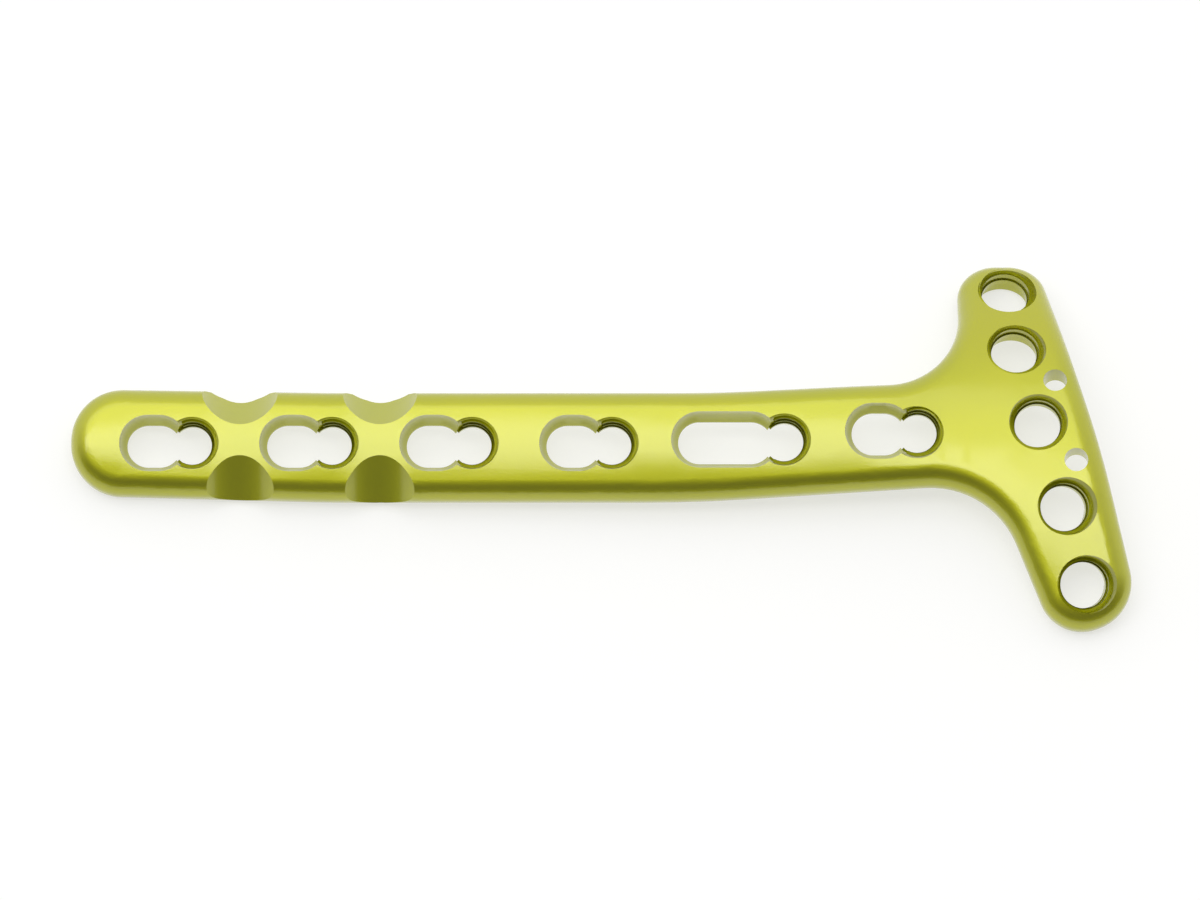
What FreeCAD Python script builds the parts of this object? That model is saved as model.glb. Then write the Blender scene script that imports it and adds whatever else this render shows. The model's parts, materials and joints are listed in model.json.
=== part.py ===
import FreeCAD, Part
import os
from math import acos, asin, cos, radians, sin, sqrt, tan
from FreeCAD import Vector

# Left T-shaped locking plate for a bone end, milled from one piece of titanium. Sizes are in millimetres.
# While it is built the shaft lies along X from its tail at X = 0, the head is at the far end of X,
# and the shaft's screws run down Z. At the end it is turned to the way it lies on a table.

# Shaft
shaft_width = 10.2
shaft_thickness = 3.25
tail_flat = 0.35
near_tail_shift = 0.63
far_tail_shift = 0.37
tail_turn = 24.0
tail_to_first_thread = 11.3
hole_pitch = 13.0
long_hole_step = 16.0
last_hole_step = 12.4
crown_radius = 40.0
underside_hollow = 0.30
hole_line = 0.15
long_hole_line = 0.48
last_hole_line = 1.32

# Wrap across the head: nearly flat on the near arm, then a round bend down to a straight far arm
head_thickness = 2.9
near_wrap_radius = 95.0
wrap_line = 1.58
wrap_start_angle = 6.0
far_wrap_radius = 23.6
far_arm_angle = 38.0
head_blend_start = -8.6
head_blend_length = 15.0

# Edges
shoulder_radius = 2.0
underside_bevel = 0.5
thinnest_wall = 0.3

# Combination holes of the shaft: a smooth slot for a ball-headed screw, and a threaded round hole
slot_rim_radius = 2.65
slot_wall_taper = 0.10
slot_wall_depth = 1.5
slot_throat_radius = 1.98
slot_throat_length = 0.35
slot_to_thread = 3.05
short_slot = 1.05
long_slot = 4.80
shaft_rim_radius = 2.50
shaft_rim_depth = 0.25
shaft_thread_radius = 2.35
thread_half_angle = 10.0
shaft_throat_length = 0.6

# Locking holes of the head
head_rim_radius = 2.74
head_rim_depth = 0.45
head_thread_radius = 2.60
head_throat_length = 0.9

# Holes for guide wires
wire_hole_radius = 1.10

# Bending notches across the shaft's edges, each a round cutter laid at a slope
notch_radius = 4.35
near_notch_apex = -1.00
near_notch_slope = 34.0
far_notch_apex = 1.90
far_notch_slope = 52.0

# The shaft's sides turn slightly behind the tail and before the neck, there at these distances from the
# last shaft thread
side_turn_radius = 150.0
near_side_turn = -20.7
far_side_turn = -18.7

# The neck's two hollows: distance from the last shaft thread, how far inside the shaft's side, and radius
near_neck = (6.85, 1.72, 8.5)
far_neck = (4.02, -1.15, 7.0)

# The head's reach to each side, the far arm's taper in degrees, and how much further the near arm's tip
# reaches on its left than on its right
near_arm_reach = 18.25
far_arm_reach = 18.97
far_arm_taper = 16.7
far_arm_corner = 3.6
near_tip_slant = 2.65

# Corners of the near arm and the head's end: distance from the last shaft thread, place across, radius
near_tip_left = (12.90, -near_arm_reach, 4.1)
near_tip_right = (20.66, near_tip_slant - near_arm_reach, 4.5)
head_end_middle = (17.20, -0.55, 100.0)

# The head's holes: distance from the last shaft thread, share of that arm's reach, and lean in degrees
# along X and across
head_holes = [
    (8.56, 0.825, -7.0, 24.0),
    (9.25, 0.501, -5.5, 16.0),
    (11.22, 0.1175, -2.0, 7.0),
    (13.74, -0.3155, -9.0, 1.0),
    (15.55, -0.716, -9.0, -5.0),
]
wire_holes = [
    (12.86, 0.330, 2.5, 12.0),
    (14.73, -0.0755, 2.5, 5.0),
]

# The far arm's end is square to the arm at this distance along from the neck
tip_from_neck = 3.3

# Cutting tools run on this far past what they cut, and surfaces that meet count as joined within this gap
spare = 6.0
joint_gap = 0.0001

thread_lines = [tail_to_first_thread + hole_pitch * n for n in range(4)]
long_hole_thread = thread_lines[-1] + long_hole_step
head_start = long_hole_thread + last_hole_step


def wrap(y):
    """Drop of the head's surface at y, and its tilt in radians."""
    first = radians(wrap_start_angle)
    last = radians(far_arm_angle)
    turned = y - wrap_line
    if turned <= 0:
        tilt = asin(sin(first) + turned / near_wrap_radius)
        return near_wrap_radius * (1 - cos(tilt)), tilt
    at_line = near_wrap_radius * (1 - cos(first))
    bend_width = far_wrap_radius * (sin(last) - sin(first))
    if turned <= bend_width:
        tilt = asin(sin(first) + turned / far_wrap_radius)
        return at_line + far_wrap_radius * (cos(first) - cos(tilt)), tilt
    at_end = at_line + far_wrap_radius * (cos(first) - cos(last))
    return at_end + (turned - bend_width) * tan(last), last


def head_share(x):
    """0 on the shaft, 1 on the head, with a smooth step between."""
    part = (x - head_start - head_blend_start) / head_blend_length
    part = min(1.0, max(0.0, part))
    return part ** 3 * (10 - 15 * part + 6 * part ** 2)


def arc_drop(y, radius):
    """How far a circle of this radius has fallen at y from its top."""
    return radius - sqrt(radius ** 2 - y ** 2)


def hollow_radius():
    half = shaft_width / 2
    return (half ** 2 + underside_hollow ** 2) / (2 * underside_hollow)


def upper_height(x, y):
    share = head_share(x)
    return shaft_thickness - share * wrap(y)[0] - (1 - share) * arc_drop(y, crown_radius)


def lower_height(x, y):
    share = head_share(x)
    under_shaft = underside_hollow - arc_drop(y, hollow_radius())
    under_head = shaft_thickness - wrap(y)[0] - head_thickness / cos(wrap(y)[1])
    return share * under_head + (1 - share) * under_shaft


def height_surface(height, x_range, y_range, steps):
    """A smooth surface through height(x, y) over a rectangle."""
    rows = []
    for i in range(steps[0] + 1):
        x = x_range[0] + (x_range[1] - x_range[0]) * i / steps[0]
        row = []
        for j in range(steps[1] + 1):
            y = y_range[0] + (y_range[1] - y_range[0]) * j / steps[1]
            row.append(Vector(x, y, height(x, y)))
        rows.append(row)
    surface = Part.BSplineSurface()
    surface.interpolate(rows)
    return surface.toShape()


def rounded_outline(corners):
    """A closed wire of straight runs, each corner (x, y, radius) rounded by a tangent arc."""
    count = len(corners)
    joints = []
    for i in range(count):
        x, y, radius = corners[i]
        here = Vector(x, y, 0)
        before = Vector(*corners[i - 1][:2], 0) - here
        after = Vector(*corners[(i + 1) % count][:2], 0) - here
        before.normalize()
        after.normalize()
        half_angle = acos(max(-1.0, min(1.0, before.dot(after)))) / 2
        reach = radius / tan(half_angle)
        inward = before + after
        inward.normalize()
        centre = here + inward * (radius / sin(half_angle))
        middle = centre - inward * radius
        joints.append((here + before * reach, middle, here + after * reach))
    edges = []
    for i in range(count):
        start, middle, end = joints[i]
        edges.append(Part.Arc(start, middle, end).toShape())
        following = joints[(i + 1) % count][0]
        edges.append(Part.LineSegment(end, following).toShape())
    return Part.Wire(edges)


def from_head(corner):
    return (head_start + corner[0], corner[1], corner[2])


def plan_outline():
    """The plate seen from above. The far arm runs on past its end, where it is cut off later."""
    half = shaft_width / 2
    tail_width = shaft_width - near_tail_shift + far_tail_shift
    tail_radius = (tail_width - tail_flat) / 2
    beyond = far_arm_reach + spare
    right = from_head(head_end_middle)
    taper = tan(radians(far_arm_taper))
    arm_right = right[0] - taper * (beyond - right[1])
    arm_left = head_start + far_neck[0]
    corners = [
        (0.0, half + far_tail_shift, tail_radius),
        (0.0, near_tail_shift - half, tail_radius),
        (tail_turn, -half, side_turn_radius),
        (head_start + near_side_turn, -half, side_turn_radius),
        (head_start + near_neck[0], near_neck[1] - half, near_neck[2]),
        from_head(near_tip_left),
        from_head(near_tip_right),
        right,
        (arm_right, beyond, far_arm_corner / 2),
        (arm_left, beyond, far_arm_corner / 2),
        (head_start + far_neck[0], half - far_neck[1], far_neck[2]),
        (head_start + far_side_turn, half, side_turn_radius),
        (tail_turn, half, side_turn_radius),
    ]
    return rounded_outline(corners)


def lean_axis(lean_x, lean_y):
    """Unit vector along a hole, up out of the plate, leaning to -X and +Y by these degrees."""
    axis = Vector(-tan(radians(lean_x)), tan(radians(lean_y)), 1)
    axis.normalize()
    return axis


def shaft_surface(radius, top, x_range, half_width):
    """Part of a round surface that runs along the shaft, with its top line at the given height. It is given
    as a spline, because later cuts through the middle of a hole fail where its rim is on a true cylinder."""
    edge_height = top - arc_drop(half_width, radius)
    arc = Part.Arc(
        Vector(x_range[0], -half_width, edge_height),
        Vector(x_range[0], 0, top),
        Vector(x_range[0], half_width, edge_height),
    )
    return arc.toShape().extrude(Vector(x_range[1] - x_range[0], 0, 0)).toNurbs()


def slab():
    """Everything between the upper and the lower surface inside the outline."""
    blend_x = head_start + head_blend_start
    shaft_range = (-spare, blend_x)
    head_range = (blend_x, head_start + near_tip_right[0] + spare)
    y_range = (-near_arm_reach - spare, far_arm_reach + spare)
    half_width = max(near_arm_reach, far_arm_reach) + spare
    steps = (16, 26)
    up = Vector(0, 0, head_range[1])
    block = Part.Face(plan_outline()).extrude(up)
    block.translate(-up / 2)
    crown = shaft_surface(crown_radius, shaft_thickness, shaft_range, half_width)
    hollow = shaft_surface(hollow_radius(), underside_hollow, shaft_range, half_width)
    head_top = height_surface(upper_height, head_range, y_range, steps)
    head_under = height_surface(lower_height, head_range, y_range, steps)
    tools = [crown.extrude(up), head_top.extrude(up), hollow.extrude(-up), head_under.extrude(-up)]
    return block.cut(tools, joint_gap)


def far_end_plane():
    """A point on the far arm's end and the direction out of it, square to the arm's surface."""
    x = head_start + far_neck[0] + tip_from_neck
    tilt = wrap(far_arm_reach)[1]
    return surface_point(x, far_arm_reach), Vector(0, cos(tilt), -sin(tilt))


def far_end_cutter():
    """A block that takes off everything beyond the far arm's end."""
    point, outward = far_end_plane()
    size = far_arm_reach + near_tip_right[0]
    block = Part.makeBox(size, size, size, Vector(-size / 2, -size / 2, 0))
    return moved(block, point, outward)


def is_far_end_corner(edge):
    """The two long edges where the far arm's end meets its sides."""
    if len(edge.Vertexes) != 2 or edge.Curve.TypeId != "Part::GeomLine":
        return False
    point, outward = far_end_plane()
    return all(abs((v.Point - point).dot(outward)) < 0.01 for v in edge.Vertexes)


def is_boundary(edge, height):
    """Is this edge on the surface of the given height?"""
    margin = shaft_thickness / 20
    for share in (0.2, 0.5, 0.8):
        span = edge.LastParameter - edge.FirstParameter
        point = edge.valueAt(edge.FirstParameter + span * share)
        if abs(point.z - height(point.x, point.y)) > margin:
            return False
    return True


def boundary(solid, height):
    """The edges round a surface. The longest comes first, because a fillet that starts there closes best."""
    edges = [e for e in solid.Edges if is_boundary(e, height)]
    return sorted(edges, key=lambda e: -e.Length)


def round_edges(solid):
    """The wide shoulder round the top and the small bevel underneath."""
    wall = min(shaft_thickness - arc_drop(shaft_width / 2, crown_radius), head_thickness)
    shoulder = min(shoulder_radius, wall - underside_bevel - thinnest_wall)
    solid = solid.makeFillet(shoulder, boundary(solid, upper_height))
    return solid.makeChamfer(underside_bevel, boundary(solid, lower_height))


def blank():
    """The plate before its holes and notches."""
    body = slab().cut(far_end_cutter())
    corners = [e for e in body.Edges if is_far_end_corner(e)]
    body = body.makeFillet(far_arm_corner, corners)
    return round_edges(body)


def turned(profile, place, axis):
    """A solid of revolution from (radius, height) points, stood on place along axis."""
    points = [Vector(0, 0, profile[0][1])]
    points += [Vector(radius, 0, height) for radius, height in profile]
    points += [Vector(0, 0, profile[-1][1]), points[0]]
    solid = Part.Face(Part.makePolygon(points)).revolve(Vector(0, 0, 0), Vector(0, 0, 1), 360)
    return moved(solid, place, axis)


def moved(solid, place, axis):
    solid.Placement = FreeCAD.Placement(place, FreeCAD.Rotation(Vector(0, 0, 1), axis))
    return solid


def threaded_hole(place, axis, rim, thread_radius, throat_length, depth):
    """Short countersink, thread cone and plain throat. The profile starts at the plate's upper surface."""
    rim_radius, rim_depth = rim
    slope = tan(radians(thread_half_angle))
    rim_slope = (rim_radius - thread_radius) / rim_depth
    cone_end = depth - throat_length
    throat = thread_radius - slope * (cone_end - rim_depth)
    profile = [
        (rim_radius + rim_slope * spare, spare),
        (thread_radius, -rim_depth),
        (throat, -cone_end),
        (throat, -depth - spare),
    ]
    return turned(profile, place, axis)


def slot_hole(first, second, axis, depth):
    """Smooth slot between two end centres on the upper surface: steep wall, seat, then a plain throat."""
    taper = slot_wall_taper / slot_wall_depth
    profile = [
        (slot_rim_radius + taper * spare, spare),
        (slot_rim_radius - slot_wall_taper, -slot_wall_depth),
        (slot_throat_radius, slot_throat_length - depth),
        (slot_throat_radius, -depth - spare),
    ]
    run = second - first
    along = run - axis * run.dot(axis)
    side = axis.cross(along)
    side.normalize()
    outline = [first + side * r + axis * h for r, h in profile]
    outline += [first - side * r + axis * h for r, h in reversed(profile)]
    outline.append(outline[0])
    middle = Part.Face(Part.makePolygon(outline)).extrude(along)
    ends = [turned(profile, first, axis), turned(profile, first + along, axis)]
    return middle.fuse(ends)


def surface_point(x, y):
    return Vector(x, y, upper_height(x, y))


def combination_hole(thread_x, line, slot_length):
    slot_near = thread_x - slot_to_thread
    slot_far = slot_near - slot_length
    axis = Vector(0, 0, 1)
    depth = upper_height(thread_x, line) - lower_height(thread_x, line)
    rim = (shaft_rim_radius, shaft_rim_depth)
    place = surface_point(thread_x, line)
    threaded = threaded_hole(place, axis, rim, shaft_thread_radius, shaft_throat_length, depth)
    ends = surface_point(slot_far, line), surface_point(slot_near, line)
    return [threaded, slot_hole(ends[0], ends[1], axis, depth)]


def shaft_holes():
    tools = []
    for thread_x in thread_lines:
        tools += combination_hole(thread_x, hole_line, short_slot)
    tools += combination_hole(long_hole_thread, long_hole_line, long_slot)
    tools += combination_hole(head_start, last_hole_line, short_slot)
    return tools


def head_place(along, share):
    """Place in plan of a hole in the head, which follows the reach of the arm that it is in."""
    reach = far_arm_reach if share > 0 else near_arm_reach
    return head_start + along, share * reach


def head_locking_holes():
    tools = []
    rim = (head_rim_radius, head_rim_depth)
    for along, share, lean_x, lean_y in head_holes:
        x, y = head_place(along, share)
        axis = lean_axis(lean_x, lean_y)
        depth = head_thickness / cos(wrap(y)[1] - radians(lean_y))
        place = surface_point(x, y)
        tools.append(threaded_hole(place, axis, rim, head_thread_radius, head_throat_length, depth))
    return tools


def guide_wire_holes():
    tools = []
    for along, share, lean_x, lean_y in wire_holes:
        x, y = head_place(along, share)
        axis = lean_axis(lean_x, lean_y)
        place = surface_point(x, y) - axis * spare
        tools.append(Part.makeCylinder(wire_hole_radius, 2 * spare, place, axis))
    return tools


def notch(x, apex, slope, side):
    """A round cutter whose lowest line leaves the upper surface at apex and slopes down outwards."""
    angle = radians(slope)
    outward = Vector(0, side * cos(angle), -sin(angle))
    up = Vector(0, side * sin(angle), cos(angle))
    start = surface_point(x, apex) + up * notch_radius - outward * shaft_width
    return Part.makeCylinder(notch_radius, 2 * shaft_width, start, outward)


def bending_notches():
    tools = []
    for before in thread_lines[:2]:
        after = before + hole_pitch - slot_to_thread - short_slot
        x = (before + after) / 2
        tools.append(notch(x, near_notch_apex, near_notch_slope, -1))
        tools.append(notch(x, far_notch_apex, far_notch_slope, 1))
    return tools


def highest(function, low, high):
    """Where a function with a single hump is highest."""
    while high - low > 0.00001:
        third = (high - low) / 3
        if function(low + third) < function(high - third):
            low += third
        else:
            high -= third
    return (low + high) / 2


def table_slopes(solid):
    """Slopes along X and across of the table under the lying plate. Of all planes that stay below the
    plate, the table is the one that is highest under its centre of mass."""
    centre = solid.CenterOfMass
    points = [point - centre for edge in solid.Edges for point in edge.discretize(10)]
    low_points = [(p.x, p.y, p.z) for p in points if p.z < 0]

    def height(along, across):
        return min(z - along * x - across * y for x, y, z in low_points)

    def best_across(along):
        return highest(lambda across: height(along, across), -1.0, 1.0)

    along = highest(lambda slope: height(slope, best_across(slope)), -1.0, 1.0)
    return along, best_across(along)


def at_rest(solid, slopes):
    """Turn the plate to the way it lies, and put the middle of its footprint at the origin."""
    square_to_table = Vector(-slopes[0], -slopes[1], 1)
    turn = FreeCAD.Rotation(square_to_table, Vector(0, 0, 1))
    solid = solid.transformed(FreeCAD.Placement(Vector(0, 0, 0), turn).toMatrix())
    box = solid.optimalBoundingBox(False, False)
    solid.translate(Vector(-box.Center.x, -box.Center.y, -box.ZMin))
    return solid


def bone_plate():
    body = blank()
    slopes = table_slopes(body.Solids[0])
    for tool in bending_notches():
        body = body.cut(tool)
    for tool in shaft_holes() + head_locking_holes() + guide_wire_holes():
        body = body.cut(tool)
    return at_rest(body.Solids[0], slopes)


os.makedirs("parts", exist_ok=True)
plate = bone_plate()
plate.exportStep("parts/bone_plate.step")
print("valid", plate.isValid(), "volume", round(plate.Volume, 2), "mm3")
box = plate.optimalBoundingBox(False, False)
print("size", round(box.XLength, 2), round(box.YLength, 2), round(box.ZLength, 2))
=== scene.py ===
import json
from math import cos, pi, radians, sin, tan
import bmesh
import bpy
from mathutils import Matrix, Vector


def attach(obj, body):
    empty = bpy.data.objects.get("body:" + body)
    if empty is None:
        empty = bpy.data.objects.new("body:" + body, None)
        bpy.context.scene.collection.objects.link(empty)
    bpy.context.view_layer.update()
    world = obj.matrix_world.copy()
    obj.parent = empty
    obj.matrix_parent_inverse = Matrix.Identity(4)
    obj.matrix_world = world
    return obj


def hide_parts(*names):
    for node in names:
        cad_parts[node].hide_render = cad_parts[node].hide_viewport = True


# An orthopedic bone plate: one piece of titanium, milled, bead-blasted and anodised yellow-green.
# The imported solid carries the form. This script gives it smooth shading, the cut threads of its
# locking holes and its finish, and lights it on a pale floor. Lengths are in metres.

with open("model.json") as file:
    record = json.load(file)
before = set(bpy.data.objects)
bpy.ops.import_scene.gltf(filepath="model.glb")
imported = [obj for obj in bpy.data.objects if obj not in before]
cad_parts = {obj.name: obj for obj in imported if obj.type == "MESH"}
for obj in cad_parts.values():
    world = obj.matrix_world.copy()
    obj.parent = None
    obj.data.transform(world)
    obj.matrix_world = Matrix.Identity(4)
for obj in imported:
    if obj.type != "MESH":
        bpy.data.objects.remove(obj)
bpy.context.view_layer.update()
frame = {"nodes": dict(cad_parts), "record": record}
mm = 0.001
mounts = {mount["name"]: mount for mount in frame["record"]["mounts"]}
scene = bpy.context.scene


def linearColour(hexText):
    channels = [int(hexText[i:i + 2], 16) / 255 for i in (1, 3, 5)]
    linear = [c / 12.92 if c <= 0.04045 else ((c + 0.055) / 1.055) ** 2.4 for c in channels]
    return (*linear, 1.0)


def addNode(tree, kind, settings=None, links=None):
    node = tree.nodes.new(kind)
    for name, value in (settings or {}).items():
        if name in node.inputs:
            node.inputs[name].default_value = value
        else:
            setattr(node, name, value)
    for name, source in (links or {}).items():
        tree.links.new(source, node.inputs[name])
    return node


# The shaft's own directions, read from its first and fourth locking holes
firstHole = Vector(mounts["shaft_locking_hole_1"]["pos_m"])
fourthHole = Vector(mounts["shaft_locking_hole_4"]["pos_m"])
along = (fourthHole - firstHole).normalized()
upward = Vector(mounts["shaft_locking_hole_1"]["axis"])
upward = (upward - along * upward.dot(along)).normalized()
across = upward.cross(along)


# Camera: a long lens, nearly square to the shaft and leaning towards its near edge
view = {
    "distance": 1.0,
    "fieldWidth": 111.7 * mm,
    "leanFromShaft": 8.0,         # degrees
    "fromFirstHole": 37.9 * mm,   # along the shaft to the middle of the picture
    "acrossFromHole": -0.30 * mm,
    "sensorWidth": 36.0,
    "nearClip": 0.01,
}
lean = radians(view["leanFromShaft"])
towardsCamera = upward * cos(lean) - across * sin(lean)
pictureUp = across * cos(lean) + upward * sin(lean)
aim = firstHole + along * view["fromFirstHole"] + pictureUp * view["acrossFromHole"]
cameraData = bpy.data.cameras.new("camera")
cameraData.sensor_width = view["sensorWidth"]
cameraData.lens = view["sensorWidth"] * view["distance"] / view["fieldWidth"]
cameraData.clip_start = view["nearClip"]
camera = bpy.data.objects.new("camera", cameraData)
cameraTurn = Matrix((along, pictureUp, towardsCamera)).transposed().to_4x4()
camera.matrix_world = Matrix.Translation(aim + towardsCamera * view["distance"]) @ cameraTurn
scene.collection.objects.link(camera)
scene.camera = camera
print("camera placed")


# Bead-blasted anodised titanium. The blasted surface scatters light evenly, so highlights are broad
# and soft, and its tiny dents make it sparkle a little. The thin clear oxide colours the metal
# yellow-green and adds a faint pale sheen of its own.
titanium = {
    "tint": "#B4B308",
    "greenerTint": "#A9AD08",
    "roughness": 0.46,
    "dent": 0.16 * mm,       # a real bead's dent is nearer 0.05 mm; drawn this coarse so that it shows
    "dentDepth": 0.006 * mm,
    "dentFineness": 0.6,     # share of the small dents among the large ones
    "drift": 9.0 * mm,       # slow change in the oxide's thickness
    "noiseOctaves": 2.0,
    "oxide": 1.0,
    "oxideRoughness": 0.14,
    "oxideIOR": 1.62,
}


def blastedTitanium():
    material = bpy.data.materials.new("beadBlastedAnodisedTitanium")
    material.use_nodes = True
    tree = material.node_tree
    tree.nodes.clear()
    place = addNode(tree, "ShaderNodeTexCoord").outputs["Object"]
    drift = addNode(tree, "ShaderNodeTexNoise", {
        "Scale": 1 / titanium["drift"], "Detail": titanium["noiseOctaves"]}, {"Vector": place})
    dents = addNode(tree, "ShaderNodeTexNoise", {
        "Scale": 1 / titanium["dent"], "Detail": titanium["noiseOctaves"],
        "Roughness": titanium["dentFineness"]}, {"Vector": place})
    colour = addNode(tree, "ShaderNodeMix", {"data_type": "RGBA"}, {"Factor": drift.outputs["Fac"]})
    # a mix node's colours share their names with its numbers, so they are reached by their places
    firstColour, secondColour, mixedColour = colour.inputs[6], colour.inputs[7], colour.outputs[2]
    firstColour.default_value = linearColour(titanium["tint"])
    secondColour.default_value = linearColour(titanium["greenerTint"])
    dentBump = addNode(tree, "ShaderNodeBump", {
        "Strength": 1.0, "Distance": titanium["dentDepth"]}, {"Height": dents.outputs["Fac"]})
    shine = addNode(tree, "ShaderNodeBsdfPrincipled", {
        "Metallic": 1.0,
        "Roughness": titanium["roughness"],
        "Coat Weight": titanium["oxide"],
        "Coat Roughness": titanium["oxideRoughness"],
        "Coat IOR": titanium["oxideIOR"],
    }, {"Base Color": mixedColour, "Normal": dentBump.outputs["Normal"],
        "Coat Normal": dentBump.outputs["Normal"]})
    addNode(tree, "ShaderNodeOutputMaterial", None, {"Surface": shine.outputs["BSDF"]})
    return material


blasted = blastedTitanium()
print("material made")


# The plate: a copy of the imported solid, its loose triangles joined and shaded smooth
plateLook = {"joinDistance": 0.002 * mm, "sharpAngle": 24.0}
plateMesh = frame["nodes"]["bone_plate"].data.copy()
plateMesh.name = "plate"
joined = bmesh.new()
joined.from_mesh(plateMesh)
bmesh.ops.remove_doubles(joined, verts=joined.verts, dist=plateLook["joinDistance"])
joined.to_mesh(plateMesh)
joined.free()
if "custom_normal" in plateMesh.attributes:
    plateMesh.attributes.remove(plateMesh.attributes["custom_normal"])
plateMesh.shade_smooth()
plateMesh.set_sharp_from_angle(angle=radians(plateLook["sharpAngle"]))
plateMesh.materials.clear()
plateMesh.materials.append(blasted)
plate = bpy.data.objects.new("plate", plateMesh)
scene.collection.objects.link(plate)
print("plate:", len(plateMesh.polygons), "faces")


# The threads of the locking holes: helical ridges on the cone that each hole was bored to. A shaft's
# thread is open on the side where the smooth slot of its combination hole comes in.
thread = {
    "pitch": 0.78 * mm,
    "ridgeHeight": 0.22 * mm,
    "ridgeBase": 0.62 * mm,
    "ridgeCrest": 0.16 * mm,
    "buried": 0.16 * mm,         # how far the ridge's foot runs back into the wall
    "halfAngle": 10.0,           # degrees
    "intoThroat": 0.5 * mm,      # how far the last turn runs down into the plain throat
    "shaftTop": 2.35 * mm,       # radius of the cone's upper end
    "headTop": 2.60 * mm,
    "fadeTurns": 0.5,            # the ridge sinks into the wall over this part of a turn at each end
    "fadedSize": 0.05,           # share of the ridge's size left at its very end
    "stepsPerTurn": 40,
    "sharpAngle": 24.0,
    "slotDistance": 3.05 * mm,   # from a shaft thread to the end of the slot that opens into it
    "slotRadius": 2.64 * mm,
    "slotThroat": 2.00 * mm,
    "seatTop": 1.25 * mm,        # below the cone's upper end
    "seatBottom": 2.35 * mm,
    "noSlotDistance": 1.0,       # for a head thread, which has no slot beside it
    "wallMargin": 0.01 * mm,     # a point this near to the throat's radius is on its wall
}


# the section's size along the helix: full, but for a fade at each end
def ridgeSize(tree, given):
    share = addNode(tree, "GeometryNodeSplineParameter").outputs["Factor"]
    # the share is folded at the helix's middle, so it counts up from either end
    fromEnd = addNode(tree, "ShaderNodeMath", {"operation": "PINGPONG"})
    tree.links.new(share, fromEnd.inputs[0])
    fromEnd.inputs[1].default_value = 0.5
    turnsIn = addNode(tree, "ShaderNodeMath", {"operation": "MULTIPLY"})
    tree.links.new(fromEnd.outputs[0], turnsIn.inputs[0])
    tree.links.new(given["Turns"], turnsIn.inputs[1])
    fade = addNode(tree, "ShaderNodeMapRange", {
        "interpolation_type": "SMOOTHSTEP", "From Min": 0.0, "From Max": thread["fadeTurns"],
        "To Min": thread["fadedSize"], "To Max": 1.0}, {"Value": turnsIn.outputs[0]})
    return fade.outputs["Result"]


# is a point of the helix inside the slot, whose wall narrows at its seat?
def insideSlot(tree, given):
    position = addNode(tree, "GeometryNodeInputPosition").outputs["Position"]
    spot = addNode(tree, "ShaderNodeSeparateXYZ", None, {"Vector": position})
    slotX = addNode(tree, "ShaderNodeMath", {"operation": "ADD"})
    tree.links.new(spot.outputs["X"], slotX.inputs[0])
    tree.links.new(given["Slot Distance"], slotX.inputs[1])
    fromSlot = addNode(tree, "ShaderNodeCombineXYZ", None, {
        "X": slotX.outputs[0], "Y": spot.outputs["Y"]})
    slotReach = addNode(tree, "ShaderNodeVectorMath", {"operation": "LENGTH"})
    tree.links.new(fromSlot.outputs["Vector"], slotReach.inputs[0])
    slotWall = addNode(tree, "ShaderNodeMapRange", None, {
        "Value": spot.outputs["Z"], "From Min": given["Seat Bottom"], "From Max": given["Seat Top"],
        "To Min": given["Slot Throat"], "To Max": given["Slot Radius"]})
    inSlot = addNode(tree, "ShaderNodeMath", {"operation": "LESS_THAN"})
    tree.links.new(slotReach.outputs["Value"], inSlot.inputs[0])
    tree.links.new(slotWall.outputs["Result"], inSlot.inputs[1])
    return inSlot.outputs[0]


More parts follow.
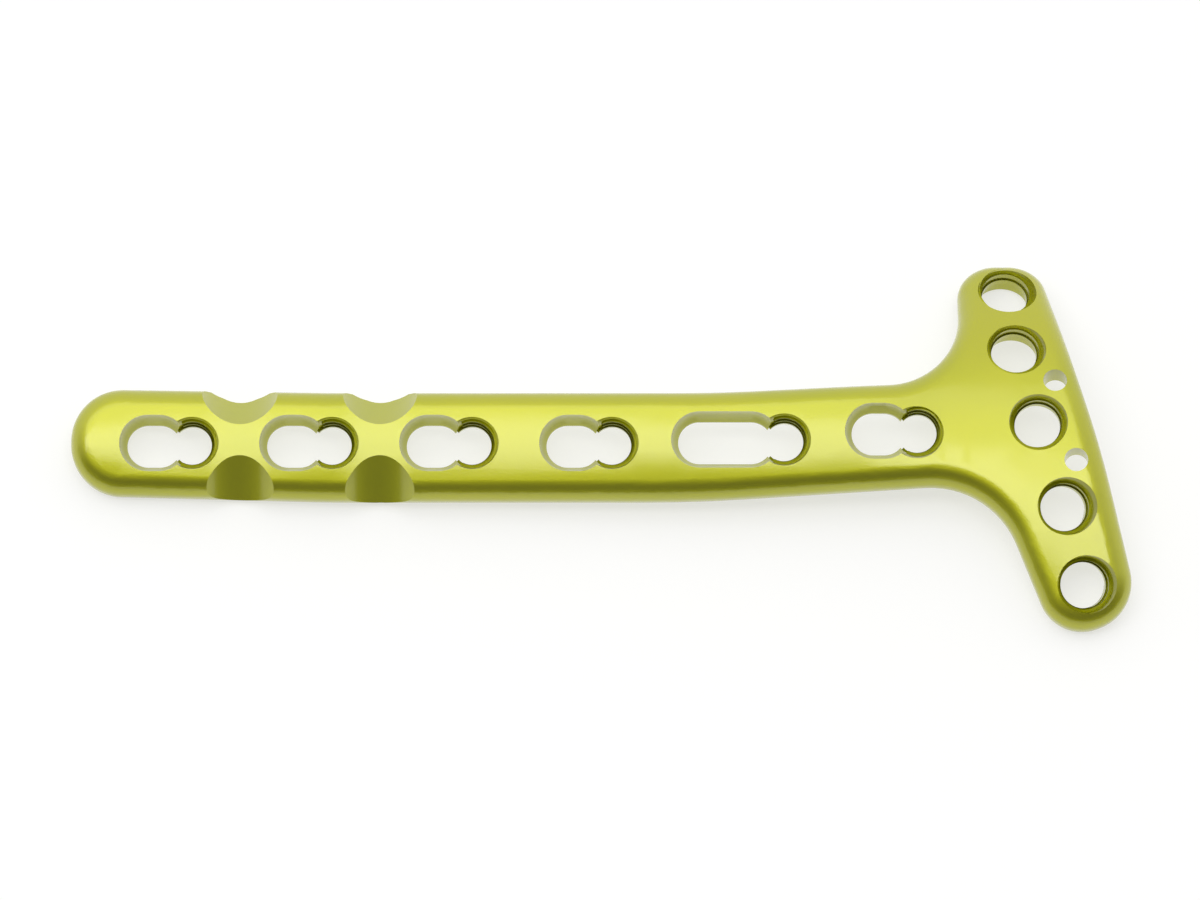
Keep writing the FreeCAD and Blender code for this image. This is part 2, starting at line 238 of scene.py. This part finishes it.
def threadTree(material):
    tree = bpy.data.node_groups.new("helicalRidge", "GeometryNodeTree")
    tree.interface.new_socket("Geometry", in_out="OUTPUT", socket_type="NodeSocketGeometry")
    for name, kind in (("Top Radius", "Float"), ("Bottom Radius", "Float"), ("Height", "Float"),
                       ("Turns", "Float"), ("Steps per Turn", "Int"), ("Ridge Depth", "Float"),
                       ("Foot Width", "Float"), ("Crest Width", "Float"), ("Slot Distance", "Float"),
                       ("Slot Radius", "Float"), ("Slot Throat", "Float"),
                       ("Seat Top", "Float"), ("Seat Bottom", "Float")):
        tree.interface.new_socket(name, in_out="INPUT", socket_type="NodeSocket" + kind)
    given = addNode(tree, "NodeGroupInput").outputs
    helix = addNode(tree, "GeometryNodeCurveSpiral", None, {
        "Resolution": given["Steps per Turn"], "Rotations": given["Turns"],
        "Start Radius": given["Bottom Radius"], "End Radius": given["Top Radius"],
        "Height": given["Height"]})
    kept = addNode(tree, "GeometryNodeCaptureAttribute")
    kept.capture_items.new("FLOAT", "Fade")
    tree.links.new(helix.outputs["Curve"], kept.inputs["Geometry"])
    tree.links.new(ridgeSize(tree, given), kept.inputs["Fade"])
    # what lies in the slot is taken out, and the runs that are left get closed ends
    line = addNode(tree, "GeometryNodeCurveToMesh", None, {"Curve": kept.outputs["Geometry"]})
    opened = addNode(tree, "GeometryNodeDeleteGeometry", {"domain": "POINT"}, {
        "Geometry": line.outputs["Mesh"], "Selection": insideSlot(tree, given)})
    runs = addNode(tree, "GeometryNodeMeshToCurve", None, {"Mesh": opened.outputs["Geometry"]})
    upright = addNode(tree, "GeometryNodeSetCurveNormal", {"mode": "Z_UP"}, {
        "Curve": runs.outputs["Curve"]})
    section = addNode(tree, "GeometryNodeCurvePrimitiveQuadrilateral", {
        "mode": "TRAPEZOID", "Offset": 0.0}, {
        "Height": given["Ridge Depth"], "Bottom Width": given["Foot Width"],
        "Top Width": given["Crest Width"]})
    outward = addNode(tree, "GeometryNodeTransform", {"Rotation": (0.0, 0.0, pi / 2)}, {
        "Geometry": section.outputs["Curve"]})
    ridge = addNode(tree, "GeometryNodeCurveToMesh", {"Fill Caps": True}, {
        "Curve": upright.outputs["Curve"], "Profile Curve": outward.outputs["Geometry"],
        "Scale": kept.outputs["Fade"]})
    real = addNode(tree, "GeometryNodeRealizeInstances", None, {"Geometry": ridge.outputs["Mesh"]})
    dressed = addNode(tree, "GeometryNodeSetMaterial", {"Material": material}, {
        "Geometry": real.outputs["Geometry"]})
    addNode(tree, "NodeGroupOutput", None, {"Geometry": dressed.outputs["Geometry"]})
    return tree


def holeFrame(axis):
    side = along - axis * along.dot(axis)
    side.normalize()
    return Matrix((side, axis.cross(side), axis)).transposed().to_4x4()


# the throat's upper end, where the thread's cone starts, read from the solid's own points
def throatEnd(middle, axis, radius):
    heights = [0.0]
    for vertex in plate.data.vertices:
        reach = vertex.co - middle
        height = reach.dot(axis)
        fromWall = abs((reach - axis * height).length - radius)
        if fromWall < thread["wallMargin"] and abs(height) < radius:
            heights.append(height)
    return max(heights)


# the node tree's inputs for one hole, whose plain throat has this radius
def ridgeInputs(name, throat):
    top = thread["headTop"] if name.startswith("head") else thread["shaftTop"]
    slope = tan(radians(thread["halfAngle"]))
    height = (top - throat) / slope + thread["intoThroat"]
    ridgeMiddle = thread["ridgeHeight"] / 2 - thread["buried"] / 2
    slotDistance = thread["slotDistance"] if name.startswith("shaft") else thread["noSlotDistance"]
    return {
        "Top Radius": top - ridgeMiddle,
        "Bottom Radius": top - height * slope - ridgeMiddle,
        "Height": height,
        "Turns": height / thread["pitch"],
        "Steps per Turn": thread["stepsPerTurn"],
        "Ridge Depth": thread["ridgeHeight"] + thread["buried"],
        "Foot Width": thread["ridgeBase"],
        "Crest Width": thread["ridgeCrest"],
        "Slot Distance": slotDistance,
        "Slot Radius": thread["slotRadius"],
        "Slot Throat": thread["slotThroat"],
        "Seat Top": height - thread["seatTop"],
        "Seat Bottom": height - thread["seatBottom"],
    }


# one hole's ridge as a plain mesh, stood in its hole
def ridgeMesh(name, mount, ridgeTree):
    throat = mount["dims"]["r_mm"] * mm
    inputs = ridgeInputs(name, throat)
    holder = bpy.data.objects.new(name, bpy.data.meshes.new(name))
    scene.collection.objects.link(holder)
    modifier = holder.modifiers.new("ridge", "NODES")
    modifier.node_group = ridgeTree
    for item in ridgeTree.interface.items_tree:
        if item.in_out == "INPUT" and item.name in inputs:
            modifier[item.identifier] = inputs[item.name]
    evaluated = holder.evaluated_get(bpy.context.evaluated_depsgraph_get())
    plain = bpy.data.meshes.new_from_object(evaluated)
    bpy.data.objects.remove(holder)
    middle = Vector(mount["pos_m"])
    axis = Vector(mount["axis"]).normalized()
    foot = middle + axis * (throatEnd(middle, axis, throat) - thread["intoThroat"])
    plain.transform(Matrix.Translation(foot) @ holeFrame(axis))
    return plain


ridgeTree = threadTree(blasted)
allRidges = bmesh.new()
for name, mount in mounts.items():
    if "locking_hole" in name:
        oneRidge = ridgeMesh(name, mount, ridgeTree)
        allRidges.from_mesh(oneRidge)
        bpy.data.meshes.remove(oneRidge)
threadsMesh = bpy.data.meshes.new("locking_threads")
allRidges.to_mesh(threadsMesh)
allRidges.free()
threadsMesh.shade_smooth()
threadsMesh.set_sharp_from_angle(angle=radians(thread["sharpAngle"]))
threadsMesh.materials.clear()
threadsMesh.materials.append(blasted)
threads = bpy.data.objects.new("locking_threads", threadsMesh)
scene.collection.objects.link(threads)
print("threads:", len(threadsMesh.polygons), "faces")

for piece in (plate, threads):
    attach(piece, "root")
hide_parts("bone_plate")


# Floor and light of a plain studio: a glowing white table, a soft box overhead with a brighter strip
# along its front, a bright room behind the object and a darker one on the camera's side
studio = {
    "tableTone": "#A6A6A4",
    "tableGlow": 0.62,
    "tableRoughness": 0.9,
    "tableSize": 4.0,
    "roomBehind": 1.10,
    "roomInFront": 0.19,
    "darkUpTo": -0.55,       # the room is dark on the camera's side of this direction along Y,
    "brightFrom": 0.45,      # and fully bright behind this one
    "boxLength": 0.95,
    "boxToTail": 0.20,       # how far the light's middle lies towards the shaft's end
    "boxDistance": 0.78,
    "boxWidth": 0.52,
    "boxLean": 21.0,         # degrees behind the line square to the shaft
    "boxPower": 1.40,
    "stripWidth": 0.20,
    "stripLean": 8.0,
    "stripPower": 1.38,
}
white = (1.0, 1.0, 1.0, 1.0)


def litTable():
    material = bpy.data.materials.new("litWhiteAcrylic")
    material.use_nodes = True
    sockets = material.node_tree.nodes["Principled BSDF"].inputs
    sockets["Base Color"].default_value = linearColour(studio["tableTone"])
    sockets["Roughness"].default_value = studio["tableRoughness"]
    sockets["Emission Color"].default_value = white
    sockets["Emission Strength"].default_value = studio["tableGlow"]
    half = studio["tableSize"] / 2
    corners = [(-half, -half, 0), (half, -half, 0), (half, half, 0), (-half, half, 0)]
    mesh = bpy.data.meshes.new("table")
    mesh.from_pydata(corners, [], [(0, 1, 2, 3)])
    mesh.materials.append(material)
    holder = bpy.data.objects.new("table", mesh)
    scene.collection.objects.link(holder)
    return holder


def studioRoom():
    room = bpy.data.worlds.new("studio")
    room.use_nodes = True
    tree = room.node_tree
    direction = addNode(tree, "ShaderNodeTexCoord").outputs["Generated"]
    parts = addNode(tree, "ShaderNodeSeparateXYZ", None, {"Vector": direction})
    brightness = addNode(tree, "ShaderNodeMapRange", {
        "interpolation_type": "SMOOTHSTEP",
        "From Min": studio["darkUpTo"], "From Max": studio["brightFrom"],
        "To Min": studio["roomInFront"], "To Max": studio["roomBehind"]}, {"Value": parts.outputs["Y"]})
    sockets = tree.nodes["Background"].inputs
    sockets["Color"].default_value = white
    tree.links.new(brightness.outputs["Result"], sockets["Strength"])
    return room


def overheadLight(name):
    light = bpy.data.lights.new(name, "AREA")
    light.shape = "RECTANGLE"
    light.size = studio["boxLength"]
    light.size_y = studio[name + "Width"]
    light.energy = studio[name + "Power"]
    lightLean = radians(studio[name + "Lean"])
    outwards = upward * cos(lightLean) + across * sin(lightLean)
    lightTurn = Matrix((along, outwards.cross(along), outwards)).transposed().to_4x4()
    middle = outwards * studio["boxDistance"] - along * studio["boxToTail"]
    holder = bpy.data.objects.new(name, light)
    holder.matrix_world = Matrix.Translation(middle) @ lightTurn
    scene.collection.objects.link(holder)


table = litTable()
scene.world = studioRoom()
overheadLight("box")
overheadLight("strip")
scene.view_settings.view_transform = "Standard"
print("studio lit")
